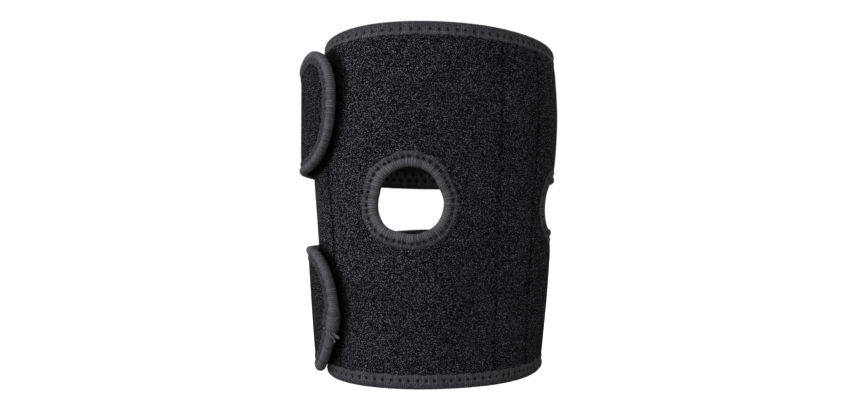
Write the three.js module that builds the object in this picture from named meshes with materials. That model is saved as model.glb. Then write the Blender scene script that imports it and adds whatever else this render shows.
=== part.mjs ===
// Adjustable open-elbow support: one foam sheet wrapped into a tube that stands on its bottom rim.
// The sheet has a round hole for the point of the elbow and a long slot that parts two straps. The straps
// come round the back, lap over the sheet's free end and are held there by hook pads. Folded tape binds
// every cut edge. Millimetres and degrees, +Z up, the elbow hole faces the front at -Y.
import * as THREE from "three";
import { mergeVertices } from "three/addons/utils/BufferGeometryUtils.js";

// Sheet, tape and hook pads
const HEIGHT = 180;
const SHEET = 3.2;
const TAPE = 0.8;
const TAPE_WIDTH = 7;
const GAP = 0.3;
const CUT_INSET = TAPE + 2 * GAP;
const HOOK_PAD = { thickness: 1.2, length: 58, margin: 12.5 };

// Outer surface by height: radius of the body, radius of the straps where they lap over it, and lean in X
const SECTIONS = [
  { z: 0, body: 60.2, strap: 66.3, lean: -0.4 },
  { z: 14, body: 61.7, strap: 67.8, lean: -0.4 },
  { z: 45, body: 64.1, strap: 70.4, lean: -0.3 },
  { z: 80, body: 66.2, strap: 72.6, lean: -0.3 },
  { z: 110, body: 68.3, strap: 74.9, lean: -0.3 },
  { z: 140, body: 69.6, strap: 75.3, lean: 0.2 },
  { z: 165, body: 67.5, strap: 76.2, lean: 1.2 },
  { z: HEIGHT, body: 64.4, strap: 76.8, lean: 1.9 },
];

// The tube is a soft oval, given by a few waves round its girth
const OVAL = { skew: -0.053, threeCos: -0.021, threeSin: -0.013 };
// Where the tube's axis stands, so that the whole object is centred on the origin
const AXIS = { x: 2.84, y: -2.85 };

// Distances along the cloth run from the middle of the front, positive towards the right and round the back
const BODY_TURN = 67;
const STRAP_TURN = 74.5;
const WRAP = { from: 152, to: 263 };
const FREE_END = -146;
const MIDDLE = 92.2;
const HOLE = { s: -12.6, radius: 16.25 };
const SLOT = { s: 89.2, radius: 12.6 };

// The straps' rounded tips: the furthest point of each, and for each side the edge that it rounds off from,
// how far back the rounding starts and how square it is (2 is an ellipse)
const UPPER_TIP = {
  s: 392.9,
  z: 144,
  low: { edge: "slotHigh", reach: 31, power: 2.4 },
  high: { edge: "top", reach: 17.5, power: 2.1 },
};
const LOWER_TIP = {
  s: 389.8,
  z: 38.8,
  low: { edge: "bottom", reach: 28.5, power: 1.6 },
  high: { edge: "slotLow", reach: 27, power: 2.2 },
};
// Degrees round the lower tip's low side where the bottom tape ends, and where the edge tape starts
const TAPE_JOIN = { bottomEnd: 66, edgeStart: 66.5 };

// Heights of the finished edges along the straps, from the slot's root to the strap tips
const EDGES = [
  { s: SLOT.s, top: HEIGHT, slotHigh: MIDDLE + SLOT.radius, slotLow: MIDDLE - SLOT.radius, bottom: 0 },
  { s: 215, top: HEIGHT, slotHigh: 108, slotLow: MIDDLE - SLOT.radius, bottom: 0 },
  { s: 340, top: 166.2, slotHigh: 108.6, slotLow: 69.8, bottom: 2.8 },
  { s: 356, top: 165.6, slotHigh: 108.6, slotLow: 69.8, bottom: 2.8 },
  { s: 376, top: 168.9, slotHigh: 108.6, slotLow: 69.8, bottom: 2.8 },
  { s: UPPER_TIP.s, top: 168.9, slotHigh: 108.6, slotLow: 69.8, bottom: 2.8 },
];

// Sewn channels on either side of the hole, as ridges in the outer face
const CHANNELS = [
  { from: -82, to: -56.5 },
  { from: 35, to: 61 },
];
const CHANNEL_LIFT = 0.8;
const CHANNEL_FADE = { from: 10, to: 22 };

// Mesh spacing
const STEP = 8.5;
const ROUND = { hole: 12, ring: 24, root: 5, tip: 10, pad: 5 };
const EDGE_ROW = 8;
const ROW_SPANS = 4;

// Height of a smooth curve through a table's rows, without overshoot between them
function read(table, key, column, x) {
  const last = table.length - 1;
  if (x <= table[0][key]) return table[0][column];
  if (x >= table[last][key]) return table[last][column];
  const slope = (i) => (table[i + 1][column] - table[i][column]) / (table[i + 1][key] - table[i][key]);
  const tangent = (i) => {
    const before = slope(Math.max(i - 1, 0));
    const after = slope(Math.min(i, last - 1));
    return before * after <= 0 ? 0 : (2 * before * after) / (before + after);
  };
  const i = table.findIndex((row, n) => n < last && x < table[n + 1][key]);
  const width = table[i + 1][key] - table[i][key];
  const t = (x - table[i][key]) / width;
  const [t2, t3] = [t * t, t * t * t];
  return (
    (2 * t3 - 3 * t2 + 1) * table[i][column] +
    (t3 - 2 * t2 + t) * width * tangent(i) +
    (3 * t2 - 2 * t3) * table[i + 1][column] +
    (t3 - t2) * width * tangent(i + 1)
  );
}

// Share of the climb from the body's surface on to the lapped straps, and that share summed along the cloth
function wrapShare(s) {
  return THREE.MathUtils.smoothstep(s, WRAP.from, WRAP.to);
}

function wrapSum(s) {
  const span = WRAP.to - WRAP.from;
  const t = THREE.MathUtils.clamp((s - WRAP.from) / span, 0, 1);
  return span * (t ** 3 - t ** 4 / 2) + Math.max(s - WRAP.to, 0);
}

// Angle round the axis reached at a distance along the cloth
function turn(s) {
  return s / BODY_TURN + (1 / STRAP_TURN - 1 / BODY_TURN) * wrapSum(s);
}

function oval(angle) {
  const two = OVAL.skew * Math.sin(2 * angle);
  const three = OVAL.threeCos * Math.cos(3 * angle) + OVAL.threeSin * Math.sin(3 * angle);
  return 1 + two + three;
}

// A point of the cloth: distance along it, height, and offset outwards from the middle of its thickness
function place(s, z, offset) {
  const angle = turn(s);
  const share = wrapShare(s);
  const outer = (1 - share) * read(SECTIONS, "z", "body", z) + share * read(SECTIONS, "z", "strap", z);
  const radius = (outer - SHEET / 2) * oval(angle) + offset;
  const lean = read(SECTIONS, "z", "lean", z);
  return new THREE.Vector3(lean + radius * Math.sin(angle), -radius * Math.cos(angle), z);
}

// How far a sewn channel stands out of the sheet's outer face
function channelLift(s, z) {
  const channel = CHANNELS.find(({ from, to }) => s > from && s < to);
  if (!channel) return 0;
  const across = Math.sin((Math.PI * (s - channel.from)) / (channel.to - channel.from));
  const fromRim = Math.min(z, HEIGHT - z);
  return CHANNEL_LIFT * across * THREE.MathUtils.smoothstep(fromRim, CHANNEL_FADE.from, CHANNEL_FADE.to);
}

function spaced(from, to, step) {
  const count = Math.max(1, Math.ceil(Math.abs(to - from) / step));
  return Array.from({ length: count + 1 }, (_, i) => from + ((to - from) * i) / count);
}

// Half the height of a round opening at a distance from its centre
function halfChord(radius, distance) {
  return Math.sqrt(Math.max(radius * radius - distance * distance, 0));
}

// Height of one side of a strap, set in from its finished edge: straight at first, then round its tip
function strapSide(tip, side, s, inset) {
  const { edge, reach, power } = tip[side];
  const start = tip.s - reach;
  const inwards = side === "low" ? inset : -inset;
  const rise = read(EDGES, "s", edge, Math.min(s, start)) + inwards - tip.z;
  const share = THREE.MathUtils.clamp((s - start) / (reach - inset), 0, 1);
  return tip.z + rise * (1 - share ** power) ** (1 / power);
}

// Half the height of the opening on the middle line: the hole, the slot's round root, or nothing
function openingAt(s) {
  const hole = halfChord(HOLE.radius + CUT_INSET, s - HOLE.s);
  const root = s <= SLOT.s ? halfChord(SLOT.radius + CUT_INSET, s - SLOT.s) : 0;
  return Math.max(hole, root);
}

// The sheet's own edges, lowest and highest, in its lower and upper half at a distance along the cloth
function lowerHalf(s) {
  const low = strapSide(LOWER_TIP, "low", s, CUT_INSET);
  return [low, s > SLOT.s ? strapSide(LOWER_TIP, "high", s, CUT_INSET) : MIDDLE - openingAt(s)];
}

function upperHalf(s) {
  const high = strapSide(UPPER_TIP, "high", s, CUT_INSET);
  return [s > SLOT.s ? strapSide(UPPER_TIP, "low", s, CUT_INSET) : MIDDLE + openingAt(s), high];
}

// Stations round a tip, set in from its finished edge and closer together towards its furthest point
function tipStations(tip, inset, count) {
  const reach = Math.max(tip.low.reach, tip.high.reach);
  const start = tip.s - reach;
  return spaced(0, Math.PI / 2, Math.PI / 2 / count).map((a) => start + (reach - inset) * Math.sin(a));
}

// Stations along the cloth, closer together round the hole, the slot's root and the tip
function stations(tip) {
  const holeCut = HOLE.radius + CUT_INSET;
  const slotCut = SLOT.radius + CUT_INSET;
  const hole = spaced(0, Math.PI, Math.PI / ROUND.hole).map((a) => HOLE.s - holeCut * Math.cos(a));
  const root = spaced(0, Math.PI / 2, Math.PI / 2 / ROUND.root).map((a) => SLOT.s - slotCut * Math.cos(a));
  const end = tipStations(tip, CUT_INSET, ROUND.tip);
  const [left, right] = CHANNELS;
  const plain = [
    [FREE_END + CUT_INSET, left.from],
    [left.from, left.to],
    [left.to, hole[0]],
    [hole[hole.length - 1], right.from],
    [right.from, right.to],
    [right.to, root[0]],
    [root[root.length - 1], end[0]],
  ].map(([from, to]) => spaced(from, to, STEP));
  return [...new Set([...plain.flat(), ...hole, ...root, ...end])].sort((a, b) => a - b);
}

// Heights of the rows across a band of the sheet, with one row close to each edge
function rowsBetween([low, high]) {
  const edge = Math.min(EDGE_ROW, (high - low) / (ROW_SPANS + 2));
  const span = (high - low - 2 * edge) / ROW_SPANS;
  const between = Array.from({ length: ROW_SPANS + 1 }, (_, i) => low + edge + span * i);
  return [low, ...between, high];
}

// A flat mesh in (distance, height), welded where bands share an edge
class FlatMesh {
  points = [];
  triangles = [];
  ids = new Map();

  id(s, z) {
    const key = `${s.toFixed(3)},${z.toFixed(3)}`;
    if (!this.ids.has(key)) {
      this.ids.set(key, this.points.length);
      this.points.push([s, z]);
    }
    return this.ids.get(key);
  }

  addTriangle(a, b, c) {
    if (a !== b && b !== c && c !== a) this.triangles.push([a, b, c]);
  }

  addBand(alongList, edgesAt) {
    const columns = alongList.map((s) => rowsBetween(edgesAt(s)).map((z) => this.id(s, z)));
    for (let i = 0; i + 1 < columns.length; i++) {
      for (let j = 0; j + 1 < columns[i].length; j++) {
        const [a, b, c, d] = [columns[i][j], columns[i + 1][j], columns[i + 1][j + 1], columns[i][j + 1]];
        this.addTriangle(a, b, c);
        this.addTriangle(a, c, d);
      }
    }
    return this;
  }

  // Edges that only one triangle has, each with the cloth on its left
  borders() {
    const seen = new Map();
    for (const corners of this.triangles) {
      corners.forEach((a, n) => {
        const b = corners[(n + 1) % 3];
        const back = `${b},${a}`;
        if (seen.has(back)) seen.delete(back);
        else seen.set(`${a},${b}`, [a, b]);
      });
    }
    return [...seen.values()];
  }

  // The cloth's solid between two offsets from its middle surface
  thicken(outerOffset, innerOffset) {
    const outer = this.points.map(([s, z]) => place(s, z, outerOffset(s, z)));
    const inner = this.points.map(([s, z]) => place(s, z, innerOffset));
    const below = outer.length;
    const faces = this.triangles.flatMap(([a, b, c]) => [a, b, c, below + c, below + b, below + a]);
    const walls = this.borders().flatMap(([a, b]) => [a, below + a, below + b, a, below + b, b]);
    return solid([...outer, ...inner], [...faces, ...walls]);
  }
}

function solid(points, indices) {
  const geometry = new THREE.BufferGeometry().setFromPoints(points);
  geometry.setIndex(indices);
  const merged = mergeVertices(geometry);
  merged.computeVertexNormals();
  return merged;
}

// The folded tape's section: distance in from the finished edge, and offset from the cloth's middle
const INNER_FACE = SHEET / 2 + GAP;
const OUTER_FACE = INNER_FACE + TAPE;
const FOLD_CORNER = 1.1;
const TAPE_SECTION = [
  [TAPE_WIDTH, -OUTER_FACE],
  [TAPE_WIDTH, -INNER_FACE],
  [TAPE, -INNER_FACE],
  [TAPE, INNER_FACE],
  [TAPE_WIDTH, INNER_FACE],
  [TAPE_WIDTH, OUTER_FACE],
  [FOLD_CORNER, OUTER_FACE],
  [0, OUTER_FACE - FOLD_CORNER],
  [0, FOLD_CORNER - OUTER_FACE],
  [FOLD_CORNER, -OUTER_FACE],
].map(([inward, offset]) => new THREE.Vector2(inward, offset));

// Tape folded over a run of finished edge, with the cloth on the left of the way that the run goes.
// The first and last points of an open run only give the direction of its ends.
function foldTape(run, closed = false) {
  const count = run.length;
  const first = closed ? 0 : 1;
  const sections = run.slice(first, count - first);
  const points = sections.flatMap((point, i) => {
    const before = run[(i + first - 1 + count) % count];
    const after = run[(i + first + 1) % count];
    const along = after.clone().sub(before).normalize();
    return TAPE_SECTION.map(({ x: inward, y: offset }) =>
      place(point.x - along.y * inward, point.y + along.x * inward, offset),
    );
  });
  const sides = TAPE_SECTION.length;
  const indices = [];
  for (let i = 0; i < sections.length - first; i++) {
    const here = i * sides;
    const next = ((i + 1) % sections.length) * sides;
    for (let a = 0; a < sides; a++) {
      const b = (a + 1) % sides;
      indices.push(here + a, here + b, next + b, here + a, next + b, next + a);
    }
  }
  if (!closed) {
    const last = (sections.length - 1) * sides;
    for (const [a, b, c] of THREE.ShapeUtils.triangulateShape(TAPE_SECTION, [])) {
      indices.push(c, b, a, last + a, last + b, last + c);
    }
  }
  return solid(points, indices);
}

// Runs of finished edge, as points in (distance, height)
function edgeRun(column, from, to) {
  return spaced(from, to, STEP).map((s) => new THREE.Vector2(s, read(EDGES, "s", column, s)));
}

function arcRun(centre, radius, fromDegrees, toDegrees, step) {
  return spaced(fromDegrees, toDegrees, step).map((degrees) => {
    const a = THREE.MathUtils.degToRad(degrees);
    return new THREE.Vector2(centre.s + radius * Math.cos(a), centre.z + radius * Math.sin(a));
  });
}

// A point on one side of a tip, from the strap's edge at 0 degrees to the tip's furthest point at 90
function tipPoint(tip, side, degrees) {
  const { edge, reach, power } = tip[side];
  const a = THREE.MathUtils.degToRad(degrees);
  const start = tip.s - reach;
  const rise = read(EDGES, "s", edge, start) - tip.z;
  const along = reach * Math.sin(a) ** (2 / power);
  const up = rise * Math.cos(a) ** (2 / power);
  return new THREE.Vector2(start + along, tip.z + up);
}

const tipStep = 90 / ROUND.tip;
const rootStep = 90 / ROUND.root;

function tipRun(tip, side, fromDegrees, toDegrees) {
  return spaced(fromDegrees, toDegrees, tipStep).map((degrees) => tipPoint(tip, side, degrees));
}

// The bottom tape turns up round the lower strap's tip and ends at a join that the edge tape starts from
const bottomRun = [
  new THREE.Vector2(FREE_END - STEP, 0),
  ...edgeRun("bottom", FREE_END, LOWER_TIP.s - LOWER_TIP.low.reach).slice(0, -1),
  ...tipRun(LOWER_TIP, "low", 0, TAPE_JOIN.bottomEnd),
  tipPoint(LOWER_TIP, "low", TAPE_JOIN.bottomEnd + tipStep),
];
const edgesRun = [
  tipPoint(LOWER_TIP, "low", TAPE_JOIN.edgeStart - tipStep),
  ...tipRun(LOWER_TIP, "low", TAPE_JOIN.edgeStart, 90).slice(0, -1),
  ...tipRun(LOWER_TIP, "high", 90, 0),
  ...edgeRun("slotLow", LOWER_TIP.s - LOWER_TIP.high.reach, SLOT.s).slice(1, -1),
  ...arcRun({ s: SLOT.s, z: MIDDLE }, SLOT.radius, 270, 90, rootStep),
  ...edgeRun("slotHigh", SLOT.s, UPPER_TIP.s - UPPER_TIP.low.reach).slice(1, -1),
  ...tipRun(UPPER_TIP, "low", 0, 90).slice(0, -1),
  ...tipRun(UPPER_TIP, "high", 90, 0),
  ...edgeRun("top", UPPER_TIP.s - UPPER_TIP.high.reach, FREE_END).slice(1),
  new THREE.Vector2(FREE_END - STEP, HEIGHT),
];

// The free end's tape bends where the sheet's own rows do, between the tapes of the two rims
const endLow = TAPE_WIDTH + GAP;
const endHigh = HEIGHT - TAPE_WIDTH - GAP;
const endRows = [lowerHalf, upperHalf].flatMap((half) => rowsBetween(half(FREE_END + CUT_INSET)));
const endHeights = [endLow, ...endRows.filter((z) => z > endLow && z < endHigh), endHigh];
const endRun = [...new Set([0, ...endHeights, HEIGHT])]
  .sort((a, b) => b - a)
  .map((z) => new THREE.Vector2(FREE_END, z));

const holeRun = arcRun({ s: HOLE.s, z: MIDDLE }, HOLE.radius, 360, 0, 360 / ROUND.ring).slice(0, -1);

// The loop-faced foam sheet with its two straps
function sleeveGeometry() {
  const flat = new FlatMesh();
  flat.addBand(stations(LOWER_TIP), lowerHalf).addBand(stations(UPPER_TIP), upperHalf);
  return flat.thicken((s, z) => SHEET / 2 + channelLift(s, z), -SHEET / 2);
}

// A hook pad on the inside of a strap's tip, with the tip's own round end
function hookPadGeometry(tip) {
  const { length, margin, thickness } = HOOK_PAD;
  const round = tipStations(tip, margin, ROUND.pad);
  const along = [...spaced(tip.s - length, round[0], STEP).slice(0, -1), ...round];
  const face = -INNER_FACE;
  return new FlatMesh()
    .addBand(along, (s) => ["low", "high"].map((side) => strapSide(tip, side, s, margin)))
    .thicken(() => face, face - thickness);
}

// Finishes
const loopFabric = new THREE.MeshStandardMaterial({ color: 0x26262c, roughness: 0.95, metalness: 0 });
const tape = new THREE.MeshStandardMaterial({ color: 0x4b4b50, roughness: 0.85, metalness: 0 });
const hooks = new THREE.MeshStandardMaterial({ color: 0x18181a, roughness: 0.6, metalness: 0 });

const wrap = new THREE.Group();
wrap.position.set(AXIS.x, AXIS.y, 0);

function addPiece(name, geometry, material) {
  const piece = new THREE.Mesh(geometry, material);
  piece.name = name;
  wrap.add(piece);
}

addPiece("sleeve", sleeveGeometry(), loopFabric);
addPiece("elbow_hole_binding", foldTape(holeRun, true), tape);
addPiece("bottom_binding", foldTape(bottomRun), tape);
addPiece("edge_binding", foldTape(edgesRun), tape);
addPiece("end_binding", foldTape(endRun), tape);
addPiece("upper_hook_pad", hookPadGeometry(UPPER_TIP), hooks);
addPiece("lower_hook_pad", hookPadGeometry(LOWER_TIP), hooks);

const elbowSupport = new THREE.Group();
elbowSupport.add(wrap);

export default elbowSupport;
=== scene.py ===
import math
import random
from bisect import bisect_right
from functools import lru_cache

import bmesh
import bpy
from mathutils import Matrix, Vector


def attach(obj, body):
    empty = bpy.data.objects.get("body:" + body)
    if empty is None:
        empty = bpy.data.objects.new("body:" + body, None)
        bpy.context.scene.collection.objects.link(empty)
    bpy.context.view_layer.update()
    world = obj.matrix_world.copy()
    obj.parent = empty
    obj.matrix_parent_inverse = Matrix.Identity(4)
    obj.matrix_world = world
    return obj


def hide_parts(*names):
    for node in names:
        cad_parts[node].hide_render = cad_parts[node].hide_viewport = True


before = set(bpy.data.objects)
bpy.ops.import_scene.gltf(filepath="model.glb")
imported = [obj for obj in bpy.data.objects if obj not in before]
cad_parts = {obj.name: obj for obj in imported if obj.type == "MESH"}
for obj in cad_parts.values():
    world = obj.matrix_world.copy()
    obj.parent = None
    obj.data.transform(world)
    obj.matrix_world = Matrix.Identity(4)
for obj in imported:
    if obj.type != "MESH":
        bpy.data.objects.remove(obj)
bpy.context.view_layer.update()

# An open-elbow support: a foam sheet with two straps, bound with folded tape and wrapped into a tube.
# Every piece is cut and sewn flat, in millimetres, with X along the cloth, Z up it and -Y out of its face.
# Then it is wrapped round the arm's way, which turns the millimetres into metres.
MM = 0.001

# The foam sheet: its height and thickness, how far it is cut inside the finished edge, and its free end
HEIGHT, SHEET = 180.0, 3.2
CUT_INSET = 1.4
FREE_END = -146.0
# The elbow hole and the slot's round root, which lie on one middle line
MIDDLE = 92.2
HOLE_S, HOLE_RADIUS = -12.6, 16.25
SLOT_S, SLOT_RADIUS = 89.2, 12.6
# The sewn channels: their seams, how far and how fully they stand out, the distances from a rim where that
# starts and is complete, and how deep and wide the seams' grooves are
CHANNELS = ((-82.0, -56.5), (35.0, 61.0))
CHANNEL_LIFT, CHANNEL_CROWN = 0.8, 0.7
CHANNEL_START, CHANNEL_FULL = 7.0, 16.0
CHANNEL_GROOVE, GROOVE_WIDTH = 0.7, 0.6
# How wide the tape's two legs lie on the cloth, how far they pinch it, and where that pinch fades out
OUTER_LEG, INNER_LEG = 7.6, 11.3
EDGE_PINCH = 0.5
OUTER_PINCH = (OUTER_LEG - 1.4, OUTER_LEG + 0.3)
INNER_PINCH = (INNER_LEG - 0.5, INNER_LEG + 1.2)
# Steps of the mesh, in millimetres, degrees or counts, and how near two points are made one
CLOTH_STEP, ARC_STEP = 2.0, 2.5
CLOTH_ROWS, ROUND_STEPS, TIP_STEPS = 46, 14, 18
SEAM_STEPS = (-4, -2, -1, 0, 1, 2, 4)
CLOTH_WELD, TAPE_WELD = 0.01, 0.001

# The wrap: its axis, the cloth that one radian takes on the body and on the straps, where the straps climb on
# to the free end, and how the round is pulled out of a circle
AXIS_X, AXIS_Y = 2.84, -2.85
BODY_TURN, STRAP_TURN = 67.0, 74.5
WRAP_FROM, WRAP_TO = 152.0, 263.0
OVAL_SKEW, OVAL_COS, OVAL_SIN = -0.053, -0.021, -0.013
# Slow waves of the cloth: height, lengths along and up it, phase
SLOW_WAVES = ((0.22, 17.0, 29.0, 0.0), (0.16, 9.5, -21.0, 1.3))
# How far the cloth turns in at the slot's root, and how far that reaches across and along the cloth
SLOT_CURL, CURL_WIDTH, CURL_FROM, CURL_TO = 1.2, 9.0, 105.0, 150.0
# Where the rims are pressed in or stand out: distance along the cloth, half width, heights where the form
# starts and where it is full, and how far it stands out
RIM_FORMS = ((-92.0, 22.0, 158.0, 176.0, -1.6), (38.0, 25.0, 35.0, 5.0, 1.8))

# Beside the strap tips a painted shadow of the straps darkens the body's pile: how far out it is quite
# dark, the least and most that it takes to fade out, and how tall and how high up the widest stretch is
# beside each tip
SHADOW_FROM, SHADOW_LEAST, SHADOW_MOST, SHADOW_SPAN = 0.8, 2.6, 6.6, 20.0
UPPER_SHADOW, LOWER_SHADOW = 151.0, 30.0
# How far wear darkens the pile round the strap tips, and how dark and how wide the painted shade along
# the channel seams is
TIP_WEAR, SEAM_SHADE, SEAM_SHADE_WIDTH = 0.34, 0.75, 0.95

# The folded tape: its join, in degrees round the lower strap's tip, and its ribs
TAPE_JOIN = 66.0
RIB_PITCH, RIB_STEPS, RIB_RELIEF = 1.05, 4, 0.13
# Shares of the mean that the ribs' widths and heights are drawn from
RIB_WIDTHS, RIB_HEIGHTS = (0.75, 1.25), (0.35, 1.35)
# Needle holes: pitch on the rims and on the elbow ring, and how far in their row lies; the zigzag's pitch
# and rows on the inner leg; how wide and deep the holes are, and how they drift to and fro in their row
NEEDLE_PITCH, RING_PITCH, NEEDLE_ROW = 4.7, 2.5, 4.7
ZIGZAG_PITCH, ZIGZAG_ROWS = 6.0, (6.0, 9.8)
NEEDLE_WIDTH, RING_WIDTH, ZIGZAG_WIDTH = 0.7, 0.6, 1.0
NEEDLE_DEPTH, NEEDLE_DRIFT, DRIFT_TURN = 0.8, 0.3, 2.4
# Waves along the edges of the tape's legs: height, length and phase
LEG_WAVES = ((0.2, 2.3, 0.0), (0.25, 0.9, 1.0))
# Where a tape's end lies over another tape: how far at the join and at the free end, how soon that fades, and
# how far it stands off
LAP_LENGTH, END_LAP, LAP_FADE, LAP_RISE = 13.0, 5.0, 4.0, 0.9
# How far the free end's tape stays off the rims, how wide the rolled lip is, and how far to either side the
# direction of an edge is read
END_CLEAR, LIP_WIDTH, TAPE_REACH = 7.3, 4.0, 0.7
# On the rims the sewn flange has painted light and the lip painted shade, unlike on the elbow ring
RIM_FLANGE_LIGHT, RIM_LIP_SHADE = 0.85, 0.1
# Round the strap tips the outer leg is laid wider or narrower, and its sewn flange is made darker with
# fainter needle holes
LOWER_SPREAD, UPPER_SPREAD, FLANGE_FADE = 0.1, -0.12, 0.7
# Distances along the cloth where a strap's tip begins and where all of this holds
TIP_FROM, TIP_TO = 335.0, 368.0
# Waves round the sewn hole, as number, height and phase
HOLE_WAVES = ((3, 0.55, 3.0), (4, 0.15, -1.5), (5, 0.22, 2.0), (8, 0.12, 1.1))

# Sewing thread: radius of a stitch and of a loose end, sides and rings of its mesh, stitches made at a time
THREAD_RADIUS, LOOSE_RADIUS = 0.2, 0.3
THREAD_SIDES, THREAD_RINGS = 6, 5
STITCH_BATCH = 30
# How far a stitch stays off its needle holes, and how far out it lies on the outer and on the inner leg
STITCH_INSET, OUTER_STITCH, INNER_STITCH = 0.75, 1.62, -2.12
# Channel seams: length of a stitch, the gap after it, and how far the seam stays off the rims
SEAM_STITCH, SEAM_GAP, SEAM_CLEAR = 2.6, 0.7, 8.5
# Thread ends at the tape's join: points along the tape, in from its edge and out from the cloth
LOOSE_ENDS = (
    (
        (0.4, 0.6, 1.6), (-0.2, -0.8, 1.0), (-0.9, -2.0, 0.3),
        (-1.3, -3.0, -0.2), (-0.7, -3.3, 0.3), (-0.5, -2.7, 0.6),
    ),
    ((0.2, 0.9, 2.0), (-0.8, -0.9, 1.4), (-1.6, -2.3, 0.6), (-1.9, -3.2, 0.4), (-1.4, -3.7, 0.0)),
    (
        (0.1, 1.2, 2.9), (-1.5, 0.2, 2.4), (-3.1, -0.9, 1.2),
        (-4.4, -1.9, 0.3), (-4.9, -1.5, 0.5), (-4.3, -1.2, 0.8),
    ),
    ((0.2, 3.4, 2.9), (-0.9, 3.1, 3.0), (-1.8, 2.4, 2.7)),
    ((0.2, 5.2, 2.7), (-0.8, 5.5, 2.8), (-1.3, 6.1, 2.5)),
)

# The hook pads, with the bare margin round them and the gap to the cloth that they are sewn on
PAD_THICKNESS, PAD_LENGTH, PAD_MARGIN, PAD_GAP = 1.2, 58.0, 12.5, 0.3
PAD_ROWS, PAD_STEPS = 20, 12

# Cloth maps are in decimetres of flat cloth
MAP_SCALE = 0.01

# Colours of the finishes, from the depth of each to its palest fibres
PILE_DEPTH, PILE_ENDS = (0.0006, 0.0006, 0.0007), (0.285, 0.276, 0.327)
KNIT_DEPTH, KNIT_WALES = (0.008, 0.008, 0.008), (0.028, 0.028, 0.029)
YARN_PLAIN, YARN_WORN_AND_PAINTED_LIGHT = (0.022, 0.022, 0.025), (0.13, 0.127, 0.14)
PAINTED_FURROW_SHADE, PAINTED_HOLE_SHADE = (0.012, 0.012, 0.013), (0.002, 0.002, 0.002)
PLY_FURROW, SEWING_PLY, LOOSE_PLY = (0.02, 0.02, 0.022), (0.055, 0.054, 0.058), (0.24, 0.238, 0.25)
HOOK_BACKING, HOOK_TOPS = (0.004, 0.004, 0.004), (0.028, 0.028, 0.03)
# How fine the fibres are: tufts on each millimetre
PILE_TUFTS, KNIT_TUFTS, TAPE_TUFTS, THREAD_TUFTS, HOOK_TUFTS = 2.4, 1.6, 2.0, 2.5, 0.8

# The studio, in metres: its floor, and how bright floor and background are as light and as seen
WHITE, FLOOR_GREY = (1.0, 1.0, 1.0), (0.45, 0.45, 0.45)
FLOOR_REACH = 6.0
FLOOR_LIGHT, FLOOR_SEEN = 0.0, 0.91
BACKGROUND_LIGHT, BACKGROUND_SEEN = 0.2, 1.0
# Soft lights: degrees round the support and above the floor, distance, width, power and colour
SOFT_LIGHTS = (
    ("key", -76.0, 25.0, 1.6, 0.4, 12.5, (0.95, 0.93, 1.0)),
    ("fill", -20.0, 20.0, 1.5, 1.2, 18.5, (0.98, 0.97, 1.0)),
    ("back", 160.0, 32.0, 1.5, 1.2, 16.0, WHITE),
)

# The photograph's frame: its size, its focal length and the point that the camera looks at, in pixels
PHOTO_WIDTH, PHOTO_HEIGHT = 854, 410
FOCAL_PIXELS = 595.6
SIGHT_X, SIGHT_Y = 436.8, 233.1
# How far the camera stands from the axis and how high, and its sensor, in millimetres
VIEW_DISTANCE, VIEW_HEIGHT = 351.5, 77.0
SENSOR = 36.0
# The nearest thing that the camera sees, in metres
NEAREST_SEEN = 0.01


def smooth_step(start, stop, x):
    t = min(max((x - start) / (stop - start), 0.0), 1.0)
    return t * t * (3.0 - 2.0 * t)


class SmoothTable:
    """Smooth curves through a short table's rows, with no overshoot between them."""

    def __init__(self, columns, rows):
        self.at = [row[0] for row in rows]
        self.curves = {}
        for n, name in enumerate(columns[1:], 1):
            values = [row[n] for row in rows]
            steps = range(len(rows) - 1)
            slopes = [(values[i + 1] - values[i]) / (self.at[i + 1] - self.at[i]) for i in steps]
            pairs = zip([slopes[0], *slopes], [*slopes, slopes[-1]])
            tangents = [2 * a * b / (a + b) if a * b > 0 else 0.0 for a, b in pairs]
            self.curves[name] = (values, tangents)

    def read(self, name, x):
        values, tangents = self.curves[name]
        if x <= self.at[0]:
            return values[0]
        if x >= self.at[-1]:
            return values[-1]
        i = bisect_right(self.at, x) - 1
        width = self.at[i + 1] - self.at[i]
        t = (x - self.at[i]) / width
        rise = t * t * (3 - 2 * t)
        bend = t * (1 - t) * width
        turn_in = bend * ((1 - t) * tangents[i] - t * tangents[i + 1])
        return (1 - rise) * values[i] + rise * values[i + 1] + turn_in


# Outer surface by height: radius of the body, radius of the lapped straps, lean to the right
SECTIONS = SmoothTable(("z", "body", "strap", "lean"), (
    (0.0, 60.2, 66.3, -0.4),
    (14.0, 61.7, 67.8, -0.4),
    (45.0, 64.1, 70.4, -0.3),
    (80.0, 66.2, 72.6, -0.3),
    (110.0, 68.3, 74.9, -0.3),
    (140.0, 69.6, 75.3, 0.2),
    (165.0, 67.5, 76.2, 1.2),
    (HEIGHT, 64.4, 76.8, 1.9),
))

# Heights of the finished edges along the straps, from the slot's root to the strap tips
EDGES = SmoothTable(("s", "top", "slot_high", "slot_low", "bottom"), (
    (SLOT_S, HEIGHT, MIDDLE + SLOT_RADIUS, MIDDLE - SLOT_RADIUS, 0.0),
    (215.0, HEIGHT, 108.0, MIDDLE - SLOT_RADIUS, 0.0),
    (340.0, 166.2, 108.6, 69.8, 2.8),
    (356.0, 165.6, 108.6, 69.8, 2.8),
    (376.0, 168.9, 108.6, 69.8, 2.8),
    (392.9, 168.9, 108.6, 69.8, 2.8),
))

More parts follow.
